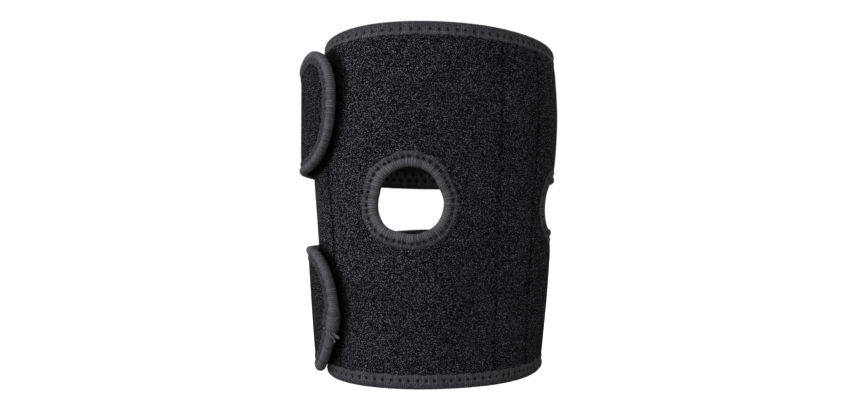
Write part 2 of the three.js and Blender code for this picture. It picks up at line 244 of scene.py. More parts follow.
# The folded tape's section, from the edge of its outer leg round the fold to the edge of its inner leg:
# distance in from the finished edge, offset from the cloth's middle, and shares of rib relief and of rubbing
TAPE_PROFILE = (
    (OUTER_LEG - 0.2, 1.2, 0.0, 0.2),
    (OUTER_LEG, 1.55, 0.5, 0.3),
    (6.8, 1.85, 0.7, 0.4),
    (5.7, 1.9, 0.7, 0.3),
    (NEEDLE_ROW, 1.5, 0.4, 0.0),
    (3.8, 2.0, 0.9, 0.6),
    (2.6, 2.45, 1.0, 1.0),
    (1.3, 2.3, 1.0, 1.0),
    (0.4, 1.6, 1.0, 0.8),
    (0.0, 0.0, 1.0, 0.5),
    (0.4, -1.5, 1.0, 0.3),
    (1.3, -2.05, 1.0, 0.4),
    (3.6, -2.1, 1.0, 0.8),
    (ZIGZAG_ROWS[0], -1.9, 0.8, 0.6),
    (7.9, -2.05, 0.8, 0.8),
    (ZIGZAG_ROWS[1], -1.85, 0.7, 0.6),
    (INNER_LEG, -1.95, 0.5, 0.0),
    (INNER_LEG - 0.1, -1.25, 0.0, 0.0),
    (1.0, -1.15, 0.0, 0.0),
    (1.0, 1.15, 0.0, 0.0),
)
# Rows of the section at the edges of the two legs
LEG_EDGES = (0, 1, 16, 17)


# Wrapping

def wrap_sum(s):
    span = WRAP_TO - WRAP_FROM
    t = min(max((s - WRAP_FROM) / span, 0.0), 1.0)
    return span * (t ** 3 - t ** 4 / 2) + max(s - WRAP_TO, 0.0)


def turn(s):
    """Angle round the axis at a distance along the cloth."""
    return s / BODY_TURN + (1 / STRAP_TURN - 1 / BODY_TURN) * wrap_sum(s)


def oval(angle):
    skew = OVAL_SKEW * math.sin(2 * angle)
    return 1 + skew + OVAL_COS * math.cos(3 * angle) + OVAL_SIN * math.sin(3 * angle)


def slot_curl(s, z):
    """How far the cloth turns in beside the slot's root."""
    beside = abs(z - MIDDLE)
    from_root = math.hypot(s - SLOT_S, beside) if s < SLOT_S else beside
    away = max(from_root - SLOT_RADIUS, 0.0)
    return SLOT_CURL * math.exp(-((away / CURL_WIDTH) ** 2)) * (1 - smooth_step(CURL_FROM, CURL_TO, s))


def soft_form(s, z):
    """Slow waves of cloth that no form fills, in millimetres."""
    form = sum(height * math.sin(s / along + z / up + phase) for height, along, up, phase in SLOW_WAVES)
    for middle, width, start, full, out in RIM_FORMS:
        form += out * math.exp(-(((s - middle) / width) ** 2)) * smooth_step(start, full, z)
    return form - slot_curl(s, z)


@lru_cache(maxsize=None)
def section_at(z):
    """Radius of the body, radius of the straps and lean at a height."""
    return SECTIONS.read("body", z), SECTIONS.read("strap", z), SECTIONS.read("lean", z)


def place(s, z, offset):
    """The wrapped place of a flat point, in metres."""
    angle = turn(s)
    body, strap, lean = section_at(round(z, 2))
    outer = body + smooth_step(WRAP_FROM, WRAP_TO, s) * (strap - body)
    radius = (outer - SHEET / 2 + soft_form(s, z)) * oval(angle) + offset
    x = AXIS_X + lean + radius * math.sin(angle)
    y = AXIS_Y - radius * math.cos(angle)
    return Vector((x, y, z)) * MM


def wrap_round(bm):
    for vert in bm.verts:
        vert.co = place(vert.co.x, vert.co.z, -vert.co.y)


def finish_piece(name, bm, materials, nodes):
    """The wrapped mesh as a smooth piece on the frame, standing for its CAD nodes."""
    bm.normal_update()
    for face in bm.faces:
        face.smooth = True
    mesh = bpy.data.meshes.new(name)
    bm.to_mesh(mesh)
    bm.free()
    for material in materials:
        mesh.materials.append(material)
    piece = bpy.data.objects.new(name, mesh)
    bpy.context.scene.collection.objects.link(piece)
    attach(piece, "root")
    if nodes:
        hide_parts(*nodes)
    return piece


# The flat pattern

def spaced(start, stop, step):
    count = max(1, math.ceil(abs(stop - start) / step))
    return [start + (stop - start) * i / count for i in range(count + 1)]


def half_chord(radius, distance):
    return math.sqrt(max(radius * radius - distance * distance, 0.0))


class TipSide:
    """One side of a strap: its straight edge, then the rounding towards the tip's furthest point."""

    def __init__(self, tip_s, tip_z, inwards, edge, reach, power):
        self.tip_z, self.inwards = tip_z, inwards
        self.edge, self.reach, self.power = edge, reach, power
        self.start = tip_s - reach

    def height(self, s, inset):
        rise = EDGES.read(self.edge, min(s, self.start)) + self.inwards * inset - self.tip_z
        share = min(max((s - self.start) / (self.reach - inset), 0.0), 1.0)
        return self.tip_z + rise * (1 - share ** self.power) ** (1 / self.power)

    def point(self, degrees):
        """A point of the finished edge, from the straight edge at 0 degrees to the furthest point at 90."""
        angle = math.radians(degrees)
        rise = EDGES.read(self.edge, self.start) - self.tip_z
        along = self.reach * max(math.sin(angle), 0.0) ** (2 / self.power)
        up = rise * max(math.cos(angle), 0.0) ** (2 / self.power)
        return Vector((self.start + along, self.tip_z + up))

    def points(self, start, stop):
        return [self.point(degrees) for degrees in spaced(start, stop, ARC_STEP)]

    def distance_in(self, s, z):
        """Rough distance from a point of the cloth to this side's finished edge."""
        if s <= self.start:
            return self.inwards * (z - EDGES.read(self.edge, s))
        rise = EDGES.read(self.edge, self.start) - self.tip_z
        out_s, out_z = s - self.start, z - self.tip_z
        level = ((out_s / self.reach) ** self.power + abs(out_z / rise) ** self.power) ** (1 / self.power)
        return math.hypot(out_s, out_z) * (1 / max(level, 0.01) - 1)


class Tip:
    """A strap's rounded tip, with a low and a high side."""

    def __init__(self, s, z, low, high):
        self.s, self.z = s, z
        self.low = TipSide(s, z, 1, *low)
        self.high = TipSide(s, z, -1, *high)

    def span(self, s, inset):
        return self.low.height(s, inset), self.high.height(s, inset)

    def stations(self, inset, count):
        """Distances along the cloth round the tip, closer together towards its furthest point."""
        start = min(self.low.start, self.high.start)
        reach = self.s - inset - start
        return [start + reach * math.sin(math.pi / 2 * i / count) for i in range(count + 1)]

    def distance_in(self, s, z):
        side = self.high if z > self.z else self.low
        return side.distance_in(s, z)


# Furthest point of each tip, and for each side its edge, how far back it starts to round and how square it is
upper_tip = Tip(393.5, 144.0, low=("slot_high", 31.0, 2.6), high=("top", 17.5, 2.1))
lower_tip = Tip(389.8, 38.8, low=("bottom", 28.5, 1.6), high=("slot_low", 27.0, 2.2))


def opening_at(s):
    """Half the height of the hole or of the slot's round root on the middle line."""
    hole = half_chord(HOLE_RADIUS + CUT_INSET, s - HOLE_S)
    root = half_chord(SLOT_RADIUS + CUT_INSET, s - SLOT_S) if s <= SLOT_S else 0.0
    return max(hole, root)


def lower_half(s):
    low, high = lower_tip.span(s, CUT_INSET)
    return low, high if s > SLOT_S else MIDDLE - opening_at(s)


def upper_half(s):
    low, high = upper_tip.span(s, CUT_INSET)
    return low if s > SLOT_S else MIDDLE + opening_at(s), high


def cloth_stations(tip):
    """Distances along the cloth, closer together round its openings, its tips and its channel seams."""
    hole_cut, slot_cut = HOLE_RADIUS + CUT_INSET, SLOT_RADIUS + CUT_INSET
    quarter = [math.pi / 2 * i / ROUND_STEPS for i in range(ROUND_STEPS + 1)]
    stations = {round(HOLE_S + side * hole_cut * math.cos(a), 4) for a in quarter for side in (-1, 1)}
    stations |= {round(SLOT_S - slot_cut * math.cos(a), 4) for a in quarter}
    stations |= {round(s, 4) for s in tip.stations(CUT_INSET, TIP_STEPS)}
    for seam in (s for channel in CHANNELS for s in channel):
        stations |= {round(seam + GROOVE_WIDTH * n / 2, 4) for n in SEAM_STEPS}
    stations.add(FREE_END + CUT_INSET)
    fixed = sorted(stations)
    for start, stop in zip(fixed, fixed[1:]):
        stations |= set(spaced(start, stop, CLOTH_STEP)[1:-1])
    return sorted(stations)


def edge_distance(s, z):
    """Distance from a point of the cloth to the nearest finished edge."""
    upper = z > MIDDLE
    tip = upper_tip if upper else lower_tip
    if s > SLOT_S:
        return tip.distance_in(s, z)
    rim = HEIGHT - z if upper else z
    slot = math.hypot(s - SLOT_S, z - MIDDLE) - SLOT_RADIUS
    hole = math.hypot(s - HOLE_S, z - MIDDLE) - HOLE_RADIUS
    return min(rim, slot, hole, s - FREE_END)


def channel_relief(s, z):
    """How far the sewn channels stand out of the outer face, with a groove along each seam."""
    from_rim = min(z, HEIGHT - z)
    relief = 0.0
    for start, stop in CHANNELS:
        if start < s < stop:
            relief += CHANNEL_LIFT * math.sin(math.pi * (s - start) / (stop - start)) ** CHANNEL_CROWN
        for seam in (start, stop):
            relief -= CHANNEL_GROOVE * math.exp(-(((s - seam) / GROOVE_WIDTH) ** 2))
    return relief * smooth_step(CHANNEL_START, CHANNEL_FULL, from_rim)


def add_cloth_band(bm, stations, edges_at, rows):
    """A grid of cloth between its lower and upper edge at each station."""
    last = len(stations) - 1
    grid = bmesh.ops.create_grid(bm, x_segments=last, y_segments=rows, size=0.5)
    for vert in grid["verts"]:
        s = stations[round((vert.co.x + 0.5) * last)]
        low, high = edges_at(s)
        vert.co = (s, 0.0, low + (high - low) * (vert.co.y + 0.5))


def painted_strap_shadow(s, z):
    """Painted shadow of the straps on the body's pile, from 1 under their tips to 0 a little way off."""
    lapped_s = (turn(s) + 2 * math.pi - turn(WRAP_TO)) * STRAP_TURN + WRAP_TO
    tip, deepest = (upper_tip, UPPER_SHADOW) if z > MIDDLE else (lower_tip, LOWER_SHADOW)
    # How far out the painted shadow reaches before it has faded
    free = SHADOW_LEAST + (SHADOW_MOST - SHADOW_LEAST) * math.exp(-(((z - deepest) / SHADOW_SPAN) ** 2))
    return 1 - smooth_step(SHADOW_FROM, free, -tip.distance_in(lapped_s, z))


def painted_shade_and_wear(s, z):
    """How far the outer face's pile is darkened, 0 to 1: painted seam shade, painted strap shadow, tip wear.
    """
    off_seam = min(abs(s - seam) for channel in CHANNELS for seam in channel)
    # Painted shade along the channel seams' grooves
    pulled = SEAM_SHADE * math.exp(-((off_seam / SEAM_SHADE_WIDTH) ** 2))
    # Painted shadow beside the strap tips on the body, and wear on the tips themselves
    pressed = painted_strap_shadow(s, z) if s < 0 else TIP_WEAR * smooth_step(TIP_FROM, TIP_TO, s)
    return max(pulled, pressed)


def map_flat_cloth(bm):
    cloth_map = bm.loops.layers.uv.new("flat_cloth")
    for face in bm.faces:
        for loop in face.loops:
            loop[cloth_map].uv = loop.vert.co.x * MAP_SCALE, loop.vert.co.z * MAP_SCALE


def make_sleeve(materials):
    bm = bmesh.new()
    shade_and_wear_mask = bm.verts.layers.float.new("shade_and_wear_mask")
    add_cloth_band(bm, cloth_stations(lower_tip), lower_half, CLOTH_ROWS)
    add_cloth_band(bm, cloth_stations(upper_tip), upper_half, CLOTH_ROWS)
    bmesh.ops.remove_doubles(bm, verts=bm.verts, dist=CLOTH_WELD)
    cut_area = sum(face.calc_area() for face in bm.faces) * MM * MM
    bmesh.ops.solidify(bm, geom=bm.faces[:], thickness=SHEET)
    map_flat_cloth(bm)
    inside = {vert for vert in bm.verts if vert.co.y > SHEET / 2}
    for face in bm.faces:
        face.material_index = 1 if any(vert in inside for vert in face.verts) else 0
    for vert in bm.verts:
        s, z = vert.co.x, vert.co.z
        from_edge = edge_distance(s, z)
        # The pile's darkening: painted shade along the seams, painted shadow beside the strap tips, wear on
        # the tips
        vert[shade_and_wear_mask] = painted_shade_and_wear(s, z)
        if vert in inside:
            vert.co.y = SHEET / 2 - EDGE_PINCH * (1 - smooth_step(*INNER_PINCH, from_edge))
        else:
            pinch = EDGE_PINCH * (1 - smooth_step(*OUTER_PINCH, from_edge))
            vert.co.y = -(SHEET / 2 - pinch + channel_relief(s, z))
    wrap_round(bm)
    return finish_piece("sleeve_cloth", bm, materials, ["sleeve"]), cut_area


# Tape and sewing

def edge_points(column, start, stop):
    return [Vector((s, EDGES.read(column, s))) for s in spaced(start, stop, CLOTH_STEP)]


def arc_points(s, z, radius, start, stop):
    angles = [math.radians(a) for a in spaced(start, stop, ARC_STEP)]
    return [Vector((s + radius * math.cos(a), z + radius * math.sin(a))) for a in angles]


def hole_points():
    """The hole's finished edge, a circle that the sewing has pulled about."""
    points = []
    for degrees in spaced(360, 0, ARC_STEP):
        angle = math.radians(degrees)
        radius = HOLE_RADIUS + sum(height * math.sin(n * angle + phase) for n, height, phase in HOLE_WAVES)
        points.append(Vector((HOLE_S + radius * math.cos(angle), MIDDLE + radius * math.sin(angle))))
    return points


class TapeRun:
    """A run of finished edge with the cloth on its left, stepped so that each rib has a few sections."""

    def __init__(self, points, closed=False):
        self.closed = closed
        lengths = [0.0]
        for here, there in zip(points, points[1:]):
            lengths.append(lengths[-1] + (there - here).length)
        self.points, self.lengths = points, lengths
        self.length = lengths[-1]
        self.ribs = max(1, round(self.length / RIB_PITCH))
        draw = random.Random(self.ribs)
        widths = [draw.uniform(*RIB_WIDTHS) for _ in range(self.ribs)]
        self.heights = [draw.uniform(*RIB_HEIGHTS) for _ in range(self.ribs)]
        scale = self.length / sum(widths) / RIB_STEPS
        self.distances = [0.0]
        for width in widths:
            for _ in range(RIB_STEPS):
                self.distances.append(self.distances[-1] + width * scale)
        self.frames = [self.frame(distance) for distance in self.distances]

    def at(self, distance):
        if self.closed:
            distance %= self.length
        distance = min(max(distance, 0.0), self.length)
        i = min(max(bisect_right(self.lengths, distance) - 1, 0), len(self.points) - 2)
        share = (distance - self.lengths[i]) / (self.lengths[i + 1] - self.lengths[i])
        return self.points[i].lerp(self.points[i + 1], share)

    def frame(self, distance):
        """A flat point of the edge, as (s, z), and the direction in from it."""
        along = (self.at(distance + TAPE_REACH) - self.at(distance - TAPE_REACH)).normalized()
        return self.at(distance), Vector((-along.y, along.x))

    def spot(self, distance, inward):
        point, across = self.frame(distance)
        return point + across * inward

    def spread_spot(self, distance, inward):
        """A spot on the outer leg, which lies wider round the strap tips."""
        point, across = self.frame(distance)
        return point + across * inward * tip_spread(point)

    def fitted(self, pitch):
        """The pitch nearest to the given one that divides the run evenly."""
        return self.length / max(1, round(self.length / pitch))

    def rib(self, column):
        """Height of the ribs at a column of the mesh, from 0 in a furrow to about 1."""
        wave = 0.5 + 0.5 * math.cos(2 * math.pi * column / RIB_STEPS)
        return wave * self.heights[round(column / RIB_STEPS) % self.ribs]

    def needle_rows(self, outside):
        """Rows of needle holes on one leg: how far in, pitch, phase and width."""
        if outside:
            pitch, width = (RING_PITCH, RING_WIDTH) if self.closed else (NEEDLE_PITCH, NEEDLE_WIDTH)
            return ((NEEDLE_ROW, self.fitted(pitch), 0.0, width),)
        pitch = self.fitted(ZIGZAG_PITCH)
        near, far = ZIGZAG_ROWS
        return (near, pitch, 0.0, ZIGZAG_WIDTH), (far, pitch, pitch / 2, ZIGZAG_WIDTH)


def profile_normals():
    """Outward directions of the tape's section, and distances round it."""
    points = [Vector((inward, offset)) for inward, offset, _, _ in TAPE_PROFILE]
    around, normals = [0.0], []
    for i, here in enumerate(points):
        before, after = points[i - 1], points[(i + 1) % len(points)]
        across = (after - before).normalized()
        normals.append(Vector((across.y, -across.x)))
        around.append(around[-1] + (after - here).length)
    return normals, around


def needle_pull(rows, distance, inward):
    """How hard the nearest needle hole pulls the tape down, from 0 to 1."""
    pull = 0.0
    for row, pitch, phase, width in rows:
        hole = round((distance - phase) / pitch)
        off = distance - phase - hole * pitch - NEEDLE_DRIFT * math.sin(DRIFT_TURN * hole)
        pull = max(pull, math.exp(-((off / width) ** 2) - ((inward - row) / width) ** 2))
    return pull


def lap_rise(run, distance, start_lap, stop_lap):
    """How far the tape stands off where its ends lie over another tape."""
    share = 0.0
    if start_lap:
        share += 1 - smooth_step(start_lap - LAP_FADE, start_lap, distance)
    if stop_lap:
        share += smooth_step(run.length - stop_lap, run.length - stop_lap + LAP_FADE, distance)
    return LAP_RISE * share


def tip_share(point):
    """How far a point of the edge has come on to a strap's tip, from 0 to 1."""
    return smooth_step(TIP_FROM, TIP_TO, point.x)


def tip_spread(point):
    return 1 + tip_share(point) * (UPPER_SPREAD if point.y > MIDDLE else LOWER_SPREAD)


def wear_and_painted_light(run, point, offset, lip_share):
    """How pale the tape is made: wear on its lip; on a rim's outer leg, painted light on the flange and
    painted shade on the lip.
    """
    if offset <= 0 or run.closed:
        return lip_share
    rim_light_and_shade = RIM_FLANGE_LIGHT + (RIM_LIP_SHADE - RIM_FLANGE_LIGHT) * lip_share
    return rim_light_and_shade + (lip_share - rim_light_and_shade) * tip_share(point)


def leg_wander(distance):
    """How far the edges of the tape's legs stray from a straight line."""
    return sum(height * math.sin(distance / length + phase) for height, length, phase in LEG_WAVES)


def fold_tape(name, run, material, nodes, start_lap=0.0, stop_lap=0.0):
    """Ribbed tape folded over a run of edge, with ends that may lie over another tape."""
    normals, around = profile_normals()
    columns, rows = len(run.distances) - 1, len(TAPE_PROFILE)
    outer_holes, inner_holes = run.needle_rows(True), run.needle_rows(False)
    bm = bmesh.new()
    tape_map = bm.loops.layers.uv.new("along_tape")
    needle = bm.verts.layers.float.new("needle")
    rib = bm.verts.layers.float.new("rib")
    lip = bm.verts.layers.float.new("lip")
    grid = bmesh.ops.create_grid(bm, x_segments=columns, y_segments=rows, size=0.5)["verts"]
    cells = {vert: (round((vert.co.x + 0.5) * columns), round((vert.co.y + 0.5) * rows)) for vert in grid}
    for face in bm.faces:
        for loop in face.loops:
            i, j = cells[loop.vert]
            loop[tape_map].uv = run.distances[i] * MAP_SCALE, around[j] * MAP_SCALE
    for vert, (i, j) in cells.items():
        distance = run.distances[i]
        point, across = run.frames[i]
        inward, offset, rib_share, lip_share = TAPE_PROFILE[j % rows]
        normal = normals[j % rows]
        if j % rows in LEG_EDGES:
            inward += leg_wander(distance)
        holes = outer_holes if offset > 0 else inner_holes
        pull = needle_pull(holes, distance, inward) if rib_share else 0.0
        # On a rim's outer leg this holds painted light on the flange and painted shade on the lip; elsewhere,
        # wear
        lip_share = wear_and_painted_light(run, point, offset, lip_share)
        if offset > 0 and inward > LIP_WIDTH:
            faded = 1 - FLANGE_FADE * tip_share(point)
            pull, lip_share = pull * faded, lip_share * faded
        vert[needle], vert[rib], vert[lip] = pull, run.rib(i) * rib_share, lip_share
        rise = RIB_RELIEF * vert[rib] - NEEDLE_DEPTH * pull
        rise += lap_rise(run, distance, start_lap, stop_lap) * min(1.0, rib_share * 2)
        if offset > 0:
            inward *= tip_spread(point)
        spot = point + across * (inward + normal.x * rise)
        vert.co = (spot.x, -(offset + normal.y * rise), spot.y)
    bmesh.ops.remove_doubles(bm, verts=bm.verts, dist=TAPE_WELD)
    ends = [edge for edge in bm.edges if len(edge.link_faces) == 1]
    if ends:
        bmesh.ops.holes_fill(bm, edges=ends, sides=0)
    wrap_round(bm)
    bmesh.ops.recalc_face_normals(bm, faces=bm.faces)
    return finish_piece(name, bm, [material], nodes)


class Thread:
    """Sewing thread made stitch by stitch, in small batches that are then put together."""

    def __init__(self):
        self.whole, self.batch, self.count = bmesh.new(), bmesh.new(), 0

    def add(self, start, stop, start_offset, stop_offset, radius=THREAD_RADIUS, finish=0):
        """A short thread between two flat points, each at its own offset from the cloth's middle."""
        low, high = Vector((start.x, -start_offset, start.y)), Vector((stop.x, -stop_offset, stop.y))
        reach = (high - low).length / 2 + radius / 2
        turn_to = (high - low).to_track_quat("Z", "Y").to_matrix().to_4x4()
        shape = Matrix.Diagonal((radius, radius, reach, 1.0))
        matrix = Matrix.Translation((low + high) / 2) @ turn_to @ shape
        made = bmesh.ops.create_uvsphere(
            self.batch, u_segments=THREAD_SIDES, v_segments=THREAD_RINGS, radius=1.0, matrix=matrix
        )
        for vert in made["verts"]:
            for face in vert.link_faces:
                face.material_index = finish
        self.count += 1
        if self.count % STITCH_BATCH == 0:
            self.put_together()

    def put_together(self):
        mesh = bpy.data.meshes.new("stitch_batch")
        self.batch.to_mesh(mesh)
        self.batch.clear()
        self.whole.from_mesh(mesh)
        bpy.data.meshes.remove(mesh)

    def finish(self):
        self.put_together()
        self.batch.free()
        return self.whole


def sew_run(thread, run):
    """A straight row of stitches on the tape's outer leg and a zigzag on its inner leg."""
    (row, pitch, _, _), = run.needle_rows(True)
    for n in range(round(run.length / pitch)):
        start, stop = n * pitch + STITCH_INSET, (n + 1) * pitch - STITCH_INSET
        thread.add(run.spread_spot(start, row), run.spread_spot(stop, row), OUTER_STITCH, OUTER_STITCH)
    (near, pitch, _, _), (far, _, half, _) = run.needle_rows(False)
    for n in range(round(run.length / pitch)):
        start = n * pitch
        middle, stop = start + half, start + pitch
        thread.add(run.spot(start, near), run.spot(middle, far), INNER_STITCH, INNER_STITCH)
        thread.add(run.spot(middle, far), run.spot(stop, near), INNER_STITCH, INNER_STITCH)


def sew_channels(thread):
    """Sunk stitches along the seams of the two channels."""
    offset = SHEET / 2 - CHANNEL_GROOVE - THREAD_RADIUS / 2
    for seam in (s for channel in CHANNELS for s in channel):
        count = int((HEIGHT - 2 * SEAM_CLEAR) / (SEAM_STITCH + SEAM_GAP))
        for n in range(count):
            z = SEAM_CLEAR + n * (SEAM_STITCH + SEAM_GAP)
            if edge_distance(seam, z) > OUTER_LEG and edge_distance(seam, z + SEAM_STITCH) > OUTER_LEG:
                thread.add(Vector((seam, z)), Vector((seam, z + SEAM_STITCH)), offset, offset)


def add_loose_ends(thread, run):
    """Ends of thread that curl out of the tape's cut end."""
    start, across = run.frame(0.0)
    along = Vector((across.y, -across.x))
    for curl in LOOSE_ENDS:
        spots = [(start + along * onward + across * inward, out) for onward, inward, out in curl]
        for (here, here_out), (there, there_out) in zip(spots, spots[1:]):
            thread.add(here, there, here_out, there_out, LOOSE_RADIUS, finish=1)


def make_stitching(runs, joined_run, materials):
    thread = Thread()
    for run in runs:
        sew_run(thread, run)
    sew_channels(thread)
    add_loose_ends(thread, joined_run)
    bm = thread.finish()
    wrap_round(bm)
    return finish_piece("stitching", bm, materials, [])


def make_hook_pad(name, tip, material, node):
    round_end = tip.stations(PAD_MARGIN, PAD_STEPS)
    stations = spaced(tip.s - PAD_LENGTH, round_end[0], CLOTH_STEP) + round_end[1:]
    bm = bmesh.new()
    add_cloth_band(bm, stations, lambda s: tip.span(s, PAD_MARGIN), PAD_ROWS)
    bmesh.ops.remove_doubles(bm, verts=bm.verts, dist=CLOTH_WELD)
    bmesh.ops.solidify(bm, geom=bm.faces[:], thickness=PAD_THICKNESS)
    map_flat_cloth(bm)
    bmesh.ops.translate(bm, verts=bm.verts, vec=(0.0, SHEET / 2 + PAD_GAP, 0.0))
    wrap_round(bm)
    return finish_piece(name, bm, [material], [node])


# Finishes

def new_material(name, roughness, specular):
    material = bpy.data.materials.new(name)
    material.use_nodes = True
    shader = material.node_tree.nodes["Principled BSDF"]
    shader.inputs["Roughness"].default_value = roughness
    shader.inputs["Specular IOR Level"].default_value = specular
    return material, shader


def add_node(tree, kind, values=(), **settings):
    """A node with its settings, and the values of named or numbered inputs."""
    node = tree.nodes.new(kind)
    for name, value in settings.items():
        setattr(node, name, value)
    for name, value in dict(values).items():
        node.inputs[name].default_value = value
    return node


def combine(tree, operation, first, second):
    """Two values put together; the second may be a plain number."""
    node = add_node(tree, "ShaderNodeMath", operation=operation)
    tree.links.new(first, node.inputs[0])
    if isinstance(second, float):
        node.inputs[1].default_value = second
    else:
        tree.links.new(second, node.inputs[1])
    return node.outputs["Value"]


def remap(tree, value, from_min, from_max, to_min, to_max):
    values = {"From Min": from_min, "From Max": from_max, "To Min": to_min, "To Max": to_max}
    node = add_node(tree, "ShaderNodeMapRange", values)
    tree.links.new(value, node.inputs["Value"])
    return node.outputs["Result"]


def read_attribute(tree, name):
    return add_node(tree, "ShaderNodeAttribute", attribute_name=name).outputs["Fac"]


def flat_millimetres(tree, uv_map):
    """Flat cloth coordinates in millimetres."""
    cloth_map = add_node(tree, "ShaderNodeUVMap", uv_map=uv_map)
    scale = add_node(tree, "ShaderNodeVectorMath", {"Scale": 1 / MAP_SCALE}, operation="SCALE")
    tree.links.new(cloth_map.outputs["UV"], scale.inputs[0])
    return scale.outputs["Vector"]


def object_millimetres(tree):
    place_in = add_node(tree, "ShaderNodeTexCoord")
    scale = add_node(tree, "ShaderNodeVectorMath", {"Scale": 1 / MM}, operation="SCALE")
    tree.links.new(place_in.outputs["Object"], scale.inputs[0])
    return scale.outputs["Vector"]


def make_pile_group():
    """Tufts of curled fibre: flecks that catch the light, more in some places than in others, and height."""
    group = bpy.data.node_groups.new("fibre_pile", "ShaderNodeTree")
    group.interface.new_socket("Vector", in_out="INPUT", socket_type="NodeSocketVector")
    group.interface.new_socket("Tuft Scale", in_out="INPUT", socket_type="NodeSocketFloat")
    group.interface.new_socket("Fleck", in_out="OUTPUT", socket_type="NodeSocketFloat")
    group.interface.new_socket("Height", in_out="OUTPUT", socket_type="NodeSocketFloat")
    inputs, outputs = add_node(group, "NodeGroupInput"), add_node(group, "NodeGroupOutput")
    link = group.links.new
    tuft_share, chance_power, least_chance = 0.8, 1.6, 0.03
    strand_from, strand_full = 0.53, 0.7
    patch_dark, patch_pale = 0.88, 1.12
    curl_values = {"Detail": 0.0, "Distortion": 0.4}
    curl = add_node(group, "ShaderNodeTexNoise", curl_values, noise_dimensions="2D")
    tuft = add_node(group, "ShaderNodeTexVoronoi", voronoi_dimensions="2D", feature="F1")
    for texture in (curl, tuft):
        link(inputs.outputs["Vector"], texture.inputs["Vector"])
    link(inputs.outputs["Tuft Scale"], curl.inputs["Scale"])
    link(combine(group, "MULTIPLY", inputs.outputs["Tuft Scale"], tuft_share), tuft.inputs["Scale"])
    drift = add_node(group, "ShaderNodeTexNoise", {"Scale": 0.045, "Detail": 2.0}, noise_dimensions="2D")
    link(inputs.outputs["Vector"], drift.inputs["Vector"])
    strands = remap(group, curl.outputs["Fac"], strand_from, strand_full, 0.0, 1.0)
    chance = add_node(group, "ShaderNodeSeparateColor")
    link(tuft.outputs["Color"], chance.inputs["Color"])
    rare = combine(group, "POWER", chance.outputs["Red"], chance_power)
    sparse = remap(group, rare, 0.0, 1.0, least_chance, 1.0)
    slow = remap(group, drift.outputs["Fac"], 0.3, 0.7, patch_dark, patch_pale)
    fleck = combine(group, "MULTIPLY", combine(group, "MULTIPLY", strands, sparse), slow)
    link(fleck, outputs.inputs["Fleck"])
    link(combine(group, "SUBTRACT", strands, tuft.outputs["Distance"]), outputs.inputs["Height"])
    return group


def add_pile(tree, vector, tuft_scale, group):
    pile = add_node(tree, "ShaderNodeGroup", {"Tuft Scale": tuft_scale}, node_tree=group)
    tree.links.new(vector, pile.inputs["Vector"])
    return pile


def add_bump(tree, height, shader, strength, distance):
    bump = add_node(tree, "ShaderNodeBump", {"Strength": strength, "Distance": distance * MM})
    tree.links.new(height, bump.inputs["Height"])
    tree.links.new(bump.outputs["Normal"], shader.inputs["Normal"])


def mix_colours(tree, share, dark, light):
    """A mix of two colours, each a plain one or another node's."""
    mix = add_node(tree, "ShaderNodeMix", data_type="RGBA")
    tree.links.new(share, mix.inputs["Factor"])
    for socket, colour in ((mix.inputs[6], dark), (mix.inputs[7], light)):
        if isinstance(colour, tuple):
            socket.default_value = (*colour, 1.0)
        else:
            tree.links.new(colour, socket)
    return mix.outputs[2]


def make_loop_fabric(pile_group):
    """Brushed loop pile: black, with fine pale fibre ends in faint courses."""
    material, shader = new_material("loop_fabric", roughness=0.95, specular=0.02)
    tree = material.node_tree
    vector = flat_millimetres(tree, "flat_cloth")
    stretch = add_node(tree, "ShaderNodeMapping", {"Scale": (1.0, 1.15, 1.0)})
    tree.links.new(vector, stretch.inputs["Vector"])
    pile = add_pile(tree, stretch.outputs["Vector"], PILE_TUFTS, pile_group)
    row_dark, row_pale, shaded_and_worn_share = 0.85, 1.15, 0.12
    row_values = {"Scale": 0.16, "Distortion": 3.0, "Detail": 1.0, "Detail Scale": 2.0}
    courses = add_node(tree, "ShaderNodeTexWave", row_values, bands_direction="Y")
    tree.links.new(vector, courses.inputs["Vector"])
    rows = remap(tree, courses.outputs["Fac"], 0.0, 1.0, row_dark, row_pale)
    # Painted seam shade, painted shadow beside the strap tips and wear on the tips leave fewer pale fibre
    # ends
    upright = remap(tree, read_attribute(tree, "shade_and_wear_mask"), 0.0, 1.0, 1.0, shaded_and_worn_share)
    fleck = combine(tree, "MULTIPLY", combine(tree, "MULTIPLY", pile.outputs["Fleck"], rows), upright)
    colour = mix_colours(tree, fleck, PILE_DEPTH, PILE_ENDS)
    tree.links.new(colour, shader.inputs["Base Color"])
    add_bump(tree, pile.outputs["Height"], shader, strength=0.9, distance=0.3)
    return material


def make_inner_knit(pile_group):
    """Smooth knit with fine upright wales."""
    material, shader = new_material("inner_knit", roughness=0.85, specular=0.15)
    tree = material.node_tree
    vector = flat_millimetres(tree, "flat_cloth")
    pile = add_pile(tree, vector, KNIT_TUFTS, pile_group)
    wale_share = 0.6
    wales = add_node(tree, "ShaderNodeTexWave", {"Scale": 0.3, "Distortion": 0.8}, bands_direction="X")
    tree.links.new(vector, wales.inputs["Vector"])
    raised = combine(tree, "MULTIPLY", wales.outputs["Fac"], wale_share)
    stitch = combine(tree, "ADD", raised, pile.outputs["Fleck"])
    colour = mix_colours(tree, stitch, KNIT_DEPTH, KNIT_WALES)
    tree.links.new(colour, shader.inputs["Base Color"])
    add_bump(tree, stitch, shader, strength=0.4, distance=0.15)
    return material


